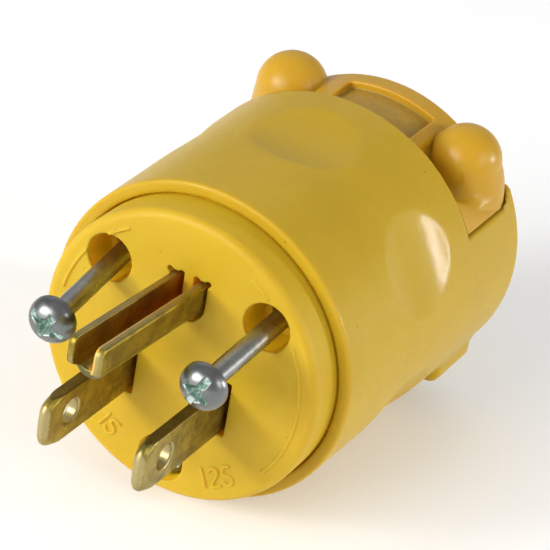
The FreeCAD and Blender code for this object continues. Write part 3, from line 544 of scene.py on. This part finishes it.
def side_of_dome(x, y, z):
    """Upright wall of a dome, splayed towards the rear outer side."""
    dx, dy = np.abs(x) - CLAMP_X, y - CLAMP_Y
    h = np.hypot(dx, dy)
    u = np.clip((0.86 * dx + 0.5 * dy) / (h + 1e-6), 0, 1)
    drop = np.clip(14.5 - z, 0, 8)
    return h - np.where(x < 0, 4.62, 4.54) - 1.4 * u ** 3 * (1 - np.exp(-drop / 2.6))


def casing(x, y, z):
    r = np.hypot(x, z)
    ro = 20.16 + 0.52 * np.clip((y - 4.9) / 30.55, 0, 1)
    out = r - ro
    reach = 20.48 - 1.08 + 23.6
    for a in DIMPLES:
        u = x * math.cos(a) + z * math.sin(a)
        trough = 23.6 - np.hypot(u - reach, y - 23.4)
        out = np.where(u > 0, smax(out, trough, 0.16), out)
    front = rnd(rnd(out, 4.9 - y, 0.32), y - 35.45, 0.14)
    tail = rnd(rnd(rnd(r - 20.64, y - 48.7, 0.9), z - 8.98, 0.25), 33.0 - y, 0.1)
    # rear lips beside the domes
    lip = rnd(rnd(rnd(r - 20.64, y - 48.7, 0.9), z - 10.9, 0.5), 8.0 - z, 0.1)
    lip = rnd(lip, 45.3 - y, 0.25)
    lip = rnd(lip, 15.6 - np.abs(x), 0.25)
    lip = rnd(lip, 0.20 - side_of_dome(x, y, z), 0.2)
    block = rnd(rnd(rbox2(np.abs(x) - 8.525, z + 7.6, 8.525, 7.6, 1.6), 38.7 - y, 1.4), y - 48.5, 0.9)
    d = np.minimum(front, tail)
    d = np.minimum(d, lip)
    d = rund(d, block, 0.6)
    # hollows
    d = rnd(d, -np.maximum(r - 18.60, y - 5.75), 0.13)
    d = np.maximum(d, -np.maximum(r - 18.46, y - 7.25))
    d = np.maximum(d, -np.maximum(r - 17.0, y - 32.0))
    d = rnd(d, -np.maximum(r - 8.0, 31.0 - y), 0.5)
    channel = np.maximum(np.maximum(np.abs(x) - 8.0, 35.45 - y), -z)
    d = rnd(d, -channel, 0.35)
    for sx in (-1, 1):
        h = np.hypot(x - sx * CLAMP_X, y - CLAMP_Y)
        d = np.maximum(d, -np.maximum(h - 1.65, z - 12.0))
        d = rnd(d, -np.maximum(h - 3.0, z + 12.6), 0.3)
    # posts of the long screws
    for a in (139.4, 40.6, -90.0):
        px, pz = 13.95 * math.cos(math.radians(a)), 13.95 * math.sin(math.radians(a))
        h = np.hypot(x - px, z - pz)
        u = x * math.cos(math.radians(a)) + z * math.sin(math.radians(a))
        v = -x * math.sin(math.radians(a)) + z * math.cos(math.radians(a))
        web = np.maximum(np.maximum(np.abs(v) - 1.2, slab(u, 13.4, 17.4)), slab(y, 14.0, 32.5))
        post = np.maximum(np.minimum(h - 3.4, web), slab(y, 14.0, 32.5))
        post = np.maximum(post, r - 17.4)
        d = np.minimum(d, post)
        d = np.maximum(d, -np.maximum(h - 1.5, slab(y, 13.0, 31.5)))
        d = np.maximum(d, -np.maximum(h - 2.32, slab(y, 13.0, 20.1)))
    return d


H = 1.0
v, f = nets(casing, (-22.5, 3.9, -22.0), (22.5, 49.8, 22.0), 0.30 * H)
shell = mesh_piece("casing", v, f, "plug_body", "body_shell", "shell_pvc", tris=190000)
shell.data.materials.append(MATS["shell_pvc"])


# ---------------------------------------------------------------- clamp jaw
def jaw(x, y, z):
    r = np.hypot(x, z)
    ax = np.abs(x)
    h = np.hypot(ax - CLAMP_X, y - CLAMP_Y)
    # the left dome stands a little higher than the right one
    zc = np.where(x < 0, 14.70, 14.38)
    ball = np.sqrt(h * h + (z - zc) ** 2) - np.where(x < 0, 4.62, 4.54)
    dome = np.where(z > zc, ball, side_of_dome(x, y, z))
    bridge = rnd(rnd(r - 18.6, y - 48.7, 0.8), ax - 13.0, 0.2)
    foot = rnd(rnd(r - 20.60, y - 45.1, 0.3), 12.6 - ax, 0.2)
    body = np.minimum(bridge, foot)
    # the step in front of and inside each dome, falling outwards
    low = 13.0 + 0.30 * np.clip(12.9 - ax, -3, 4) - 0.6 * np.clip((ax - 10.0) / 2.5, 0, 1)
    flank = np.where(x < 0, 8.3, 8.6) - ax
    plan = smin(np.maximum(flank, y - 40.6), np.maximum(np.maximum(h - 7.2, flank), y - 43.6), 0.8)
    plan = smax(plan, (ax - 14.0 - 0.45 * (y - 35.45)) * 0.9, 2.4)
    hollow = rnd(plan, (low - z) * 0.9, 1.2)
    body = smax(body, -hollow, 0.5 + 2.6 * np.clip((ax - 11.5) / 3.0, 0, 1) ** 2)
    body = np.maximum(body, r - 20.62)
    skirt = 0.16 + 2.3 * np.clip((ax - 11.6) / 3.0, 0, 1) ** 1.5 * np.clip((46.5 - y) / 3.0, 0, 1) * np.clip((z - 9.5) / 1.6, 0, 1)
    skirt = np.where(x < 0, 0.3, skirt)
    body = smin(body, dome, skirt)
    # window sunk in the bridge
    win = rbox2(x - 0.8, y - 36.8, 6.05, 8.6, 0.4)
    win = np.maximum(win, 17.55 - r)
    body = rnd(body, -win, 0.26)
    body = np.maximum(body, 35.6 - y)
    body = rnd(body, 9.42 - z, 0.10)
    tongue = np.maximum(rbox2(x, z - 7.0, 7.5, 2.6, 0.4), slab(y, 36.8, 47.2))
    d = np.minimum(body, tongue)
    for ty in (38.6, 42.2, 45.0):
        tooth = np.maximum(np.maximum(ax - 6.5, slab(y, ty, ty + 1.2)), slab(z, 3.6, 5.0))
        d = smin(d, tooth, 0.3)
    d = np.maximum(d, -np.maximum(h - 1.65, slab(z, 8.0, 17.65)))
    nut = np.maximum(np.maximum(np.abs(ax - CLAMP_X) - 2.95, np.abs(y - CLAMP_Y) - 2.95), slab(z, 8.0, 13.05))
    d = np.maximum(d, -nut)
    return d


v, f = nets(jaw, (-19.2, 34.8, 2.8), (19.2, 49.4, 20.2), 0.17 * H)
jaw_piece = mesh_piece("clamp_jaw_top", v, f, "clamp_jaw", "cord_clamp_jaw", "jaw_pvc", tris=120000)
jaw_piece.data.materials.append(MATS["jaw_pvc"])


# --------------------------------------------------------------- front disc
LONG = [(-10.59, 9.08), (10.59, 9.08), (0.0, -13.95)]
BLADE_Z = -3.675


# raised numerals on the face, as strokes (across, up)
STROKES = [
    [(-8.73, -13.05), (-7.46, -11.13)],
    [(-5.91, -11.98), (-6.49, -11.72), (-6.93, -11.75), (-7.17, -12.12), (-6.99, -12.46), (-6.63, -12.72),
     (-6.54, -13.19), (-6.85, -13.65), (-7.32, -13.83), (-7.72, -13.58), (-7.89, -13.07)],
    [(5.54, -12.65), (5.95, -13.42), (6.31, -14.25), (6.55, -14.86)],
    [(6.62, -12.62), (6.75, -12.17), (7.13, -11.84), (7.58, -11.96), (7.81, -12.42), (7.63, -13.16),
     (7.40, -13.81), (7.53, -14.44), (8.0, -14.15), (8.48, -13.75)],
    [(8.98, -10.72), (8.4, -11.07), (8.31, -11.64), (8.64, -12.15), (9.22, -11.98), (9.73, -12.11),
     (9.98, -12.53), (9.69, -13.09), (9.24, -13.26), (8.87, -13.04)],
]


def strokes(x, z):
    best = np.full(x.shape, 9.0)
    for line in STROKES:
        for (x0, z0), (x1, z1) in zip(line[:-1], line[1:]):
            ex, ez = x1 - x0, z1 - z0
            t = np.clip(((x - x0) * ex + (z - z0) * ez) / (ex * ex + ez * ez), 0.0, 1.0)
            best = np.minimum(best, np.hypot(x - x0 - ex * t, z - z0 - ez * t))
    return best


def disc(x, y, z):
    r = np.hypot(x, z)
    d = rnd(rnd(r - 18.42, -y, 1.05), y - 7.2, 0.3)
    d = np.minimum(d, np.maximum(np.maximum(r - 16.6, y - 12.0), 2.0 - y))
    a = np.degrees(np.arctan2(z, x))
    for a0, a1 in ((121, 170), (51, 61), (-36, 30)):
        mid, half = (a0 + a1) / 2, (a1 - a0) / 2
        along = (np.abs(a - mid) - half) * math.pi / 180 * 16.35
        rib = np.maximum(np.abs(r - 16.35) - 0.17, along)
        rib = rnd(rib, -0.24 - y, 0.1)
        rib = np.maximum(rib, y - 1.0)
        d = rund(d, rib, 0.15)
    near = (y > -1.0) & (y < 1.0) & (z < -10.0) & (r < 17.5)
    if near.any():
        n = strokes(x[near], z[near]) - 0.18
        n = rnd(n, -0.27 - y[near], 0.12)
        d[near] = rund(d[near], n, 0.14)
    for hx, hz in LONG:
        h = np.hypot(x - hx, z - hz)
        d = rnd(d, -np.maximum(h - 3.0, y - 5.0), 0.22)
        d = np.maximum(d, -(h - 2.15))
        d = np.maximum(d, -np.maximum(h - 3.2, 8.0 - y))
    for sx in (-1, 1):
        bx = x - sx * 6.35
        bz = z - BLADE_Z
        wide = np.maximum(rbox2(bx, bz, 1.25, 3.6, 0.25), y - 4.0)
        d = rnd(d, -wide, 0.18)
        d = np.maximum(d, -np.maximum(np.abs(bx) - 0.78, np.abs(bz) - 3.225))
    u = np.where(z < 7.93, np.hypot(x, z - 7.93) - 2.53, np.maximum(np.abs(x) - 2.53, z - 11.3))
    for sx in (-1, 1):
        u = np.minimum(u, np.hypot(x - sx * 2.53, z - 11.15) - 0.4)
        u = np.minimum(u, np.hypot(x - sx * 1.0, z - 11.15) - 0.4)
    tongue = np.where(z < 9.06, np.hypot(x, z - 9.06) - 0.66, np.abs(x) - 0.66)
    u = np.maximum(u, -tongue)
    d = rnd(d, -u, 0.13)
    return d


v, f = nets(disc, (-19.2, -0.9, -19.2), (19.2, 12.8, 19.2), 0.165 * H)
disc_piece = mesh_piece("front_disc", v, f, "plug_body", "face_insert", "insert_pvc", tris=180000)
disc_piece.data.materials.append(MATS["insert_pvc"])


# ------------------------------------------------------------- flat blades
def blade(side):
    def f(x, y, z):
        t = np.abs(x - side * 6.35) - 0.75
        c = z - BLADE_Z
        front = -17.45 + 0.32 * (c / 3.175) ** 2 - y
        strip = rnd(front, np.abs(c) - 3.175, 1.6)
        tab = np.maximum(np.abs(c) - 4.25, 12.15 - y)
        flat = np.maximum(np.minimum(strip, tab), y - 24.0)
        bevel = (t + strip + 0.52 - 0.34 * np.maximum(y + 15.9, 0.0)) * 0.7071
        d = rnd(t, flat, 0.10)
        d = smax(d, bevel, 0.10)
        h = np.hypot(y + 12.5, c)
        d = smax(d, -(h - 1.60), 0.02)
        d = smax(d, (t - (h - 1.60) + 0.16) * 0.7071, 0.05)
        d = np.maximum(d, -(np.hypot(y - 18.6, c) - 1.75))
        return d
    return f


for label, side, slot in (("hot_blade", 1, "brass_blade"), ("neutral_blade", -1, "brass_blade_dark")):
    cx = side * 6.35
    v, f = nets(blade(side), (cx - 1.1, -17.9, -8.4), (cx + 1.1, 24.4, 1.1), 0.12 * H)
    piece = mesh_piece(label + "_strip", v, f, "plug_body", label, slot, tris=60000)
    piece.data.materials.append(MATS[slot])


# -------------------------------------------------------------- ground pin
def turned(ax_deg, az_deg):
    a, b = math.radians(ax_deg), math.radians(az_deg)
    rx = np.array([[1, 0, 0], [0, math.cos(a), -math.sin(a)], [0, math.sin(a), math.cos(a)]])
    rz = np.array([[math.cos(b), -math.sin(b), 0], [math.sin(b), math.cos(b), 0], [0, 0, 1]])
    return rz @ rx


PIN_TURN = turned(-2.8, -0.25)
PIN_AT = np.array([0.0, 6.6, 8.2])


def pin(x, y, z):
    # own frame of the pin, before it leans
    low = z - 8.2
    prof = np.where(low < 0, np.hypot(x, low), np.abs(x))
    d = rnd(prof - 2.375, -(prof - 1.355), 0.12)
    # rounded front corners, the left leg a little shorter, the fold set back between them
    askew = -21.15 - 0.12 * x
    back = 1.35 * np.clip((7.50 - z) / 0.50, 0, 1)
    front = askew + back - y
    wall = rnd(front, z - 10.75, 1.05)
    d = rnd(d, wall, 0.14)
    d = np.maximum(d, rnd(prof - 2.375, wall, 0.5))
    d = np.maximum(d, y - 13.75)
    tab = np.maximum(np.maximum(np.abs(x) - 4.0, np.abs(z - 6.335) - 0.51), slab(y, 12.45, 24.0))
    d = np.minimum(d, tab)
    d = np.maximum(d, -(np.hypot(x, y - 18.6) - 1.75))
    return d


v, f = nets(pin, (-4.4, -21.8, 5.4), (4.4, 24.4, 11.3), 0.12 * H)
v = (v - PIN_AT) @ PIN_TURN.T + PIN_AT
piece = mesh_piece("ground_pin", v, f, "plug_body", "ground_blade", "brass_ground", tris=80000)
piece.data.materials.append(MATS["brass_ground"])


# ------------------------------------------------------------- long screws
def screw(x, y, z):
    # head towards -Y with its underside at y = 0
    r = np.hypot(x, z)
    q = np.minimum(y + 0.5, 0.0)
    bulge = np.sqrt((r / 2.85) ** 2 + (q / 2.15) ** 2 + 1e-9)
    head = (bulge - 1.0) * 2.3
    head = rnd(head, y, 0.22)
    shank = rnd(np.maximum(r - 1.25, -0.6 - y), y - 25.4, 0.3)
    d = rund(head, shank, 0.18)
    deep = y + 2.65
    slot = rnd(np.abs(z) - 0.40, deep - 0.95, 0.1)
    lim = 1.95 - 0.62 * deep
    thick = 0.42 - 0.10 * deep
    wing = np.minimum(np.maximum(np.abs(z) - thick, np.abs(x) - lim), np.maximum(np.abs(x) - thick, np.abs(z) - lim))
    core = r - (1.15 - 0.45 * deep)
    cross = np.maximum(smin(wing, core, 0.15), deep - 1.75)
    cutter = np.minimum(np.maximum(slot, r - 2.35), cross)
    return smax(d, -cutter, 0.10)


sv, sf = nets(screw, (-3.2, -3.0, -3.2), (3.2, 25.8, 3.2), 0.11 * H)
for label, (rot, at) in SCREWS:
    piece = mesh_piece(label + "_long", sv @ rot.T + at, sf, "plug_body", label, "zinc_screw", tris=50000)
    piece.data.materials.append(MATS["zinc_screw"])

# ------------------------------------------------------------ floor and light
floor_z = -20.7 * MM
me = bpy.data.meshes.new("floor")
s = 3.0
me.from_pydata([(-s, -s, floor_z), (s, -s, floor_z), (s, s, floor_z), (-s, s, floor_z)], [], [(0, 1, 2, 3)])
floor = bpy.data.objects.new("floor", me)
scene.collection.objects.link(floor)
fm = bpy.data.materials.new("floor_white")
ft = nodes_of(fm)
fo = ft.nodes.new("ShaderNodeOutputMaterial")
fb = ft.nodes.new("ShaderNodeBsdfPrincipled")
fb.inputs["Base Color"].default_value = (0.93, 0.93, 0.93, 1)
fb.inputs["Roughness"].default_value = 0.9
fb.inputs["Specular IOR Level"].default_value = 0.1
fb.inputs["Emission Color"].default_value = (1, 1, 1, 1)
fb.inputs["Emission Strength"].default_value = 0.15
ft.links.new(fb.outputs[0], fo.inputs[0])
me.materials.append(fm)

# light tent, a little brighter towards the horizon
world = bpy.data.worlds.new("studio")
scene.world = world
world.use_nodes = True
wt = world.node_tree
bg = wt.nodes.get("Background") or wt.nodes.new("ShaderNodeBackground")
tc = wt.nodes.new("ShaderNodeTexCoord")
sep = wt.nodes.new("ShaderNodeSeparateXYZ")
wt.links.new(tc.outputs["Generated"], sep.inputs[0])
mr = wt.nodes.new("ShaderNodeMapRange")
mr.interpolation_type = "SMOOTHSTEP"
wt.links.new(sep.outputs[2], mr.inputs["Value"])
mr.inputs["From Min"].default_value = -0.1
mr.inputs["From Max"].default_value = 0.9
mr.inputs["To Min"].default_value = 0.50
mr.inputs["To Max"].default_value = 0.42
wt.links.new(mr.outputs["Result"], bg.inputs["Color"])
bg.inputs["Strength"].default_value = 0.95


def area(name, at, look, size, power, color=(1, 1, 1)):
    d = bpy.data.lights.new(name, "AREA")
    d.shape = "RECTANGLE"
    d.size, d.size_y = size
    d.energy = power
    d.color = color
    o = bpy.data.objects.new(name, d)
    o.location = at
    o.rotation_euler = (Vector(look) - Vector(at)).to_track_quat("-Z", "Y").to_euler()
    scene.collection.objects.link(o)
    return o


def around(az, el, far):
    """Point at an azimuth (0 in front of the blades, 90 to the right) and height angle."""
    a, e = math.radians(az), math.radians(el)
    return (far * math.sin(a) * math.cos(e), -far * math.cos(a) * math.cos(e) + 0.02, far * math.sin(e))


area("front_left", around(-36, 19, 0.7), (0, 0, 0.005), (0.14, 0.14), 1.5)
area("front_wide", around(-24, 26, 1.0), (0, 0, 0.005), (0.80, 0.50), 7.3)
area("right", around(86, 24, 0.8), (0, 0.02, 0.005), (0.30, 0.30), 1.3)
area("right_rear", around(121, 10.7, 0.8), (0, 0.02, 0), (0.03, 0.09), 2.0)
area("rear_left", around(-150, 40, 1.0), (0, 0.02, 0), (0.8, 0.5), 0.5)
area("top", around(0, 80, 1.0), (0, 0.02, 0), (0.9, 0.9), 0.3)

vis = None
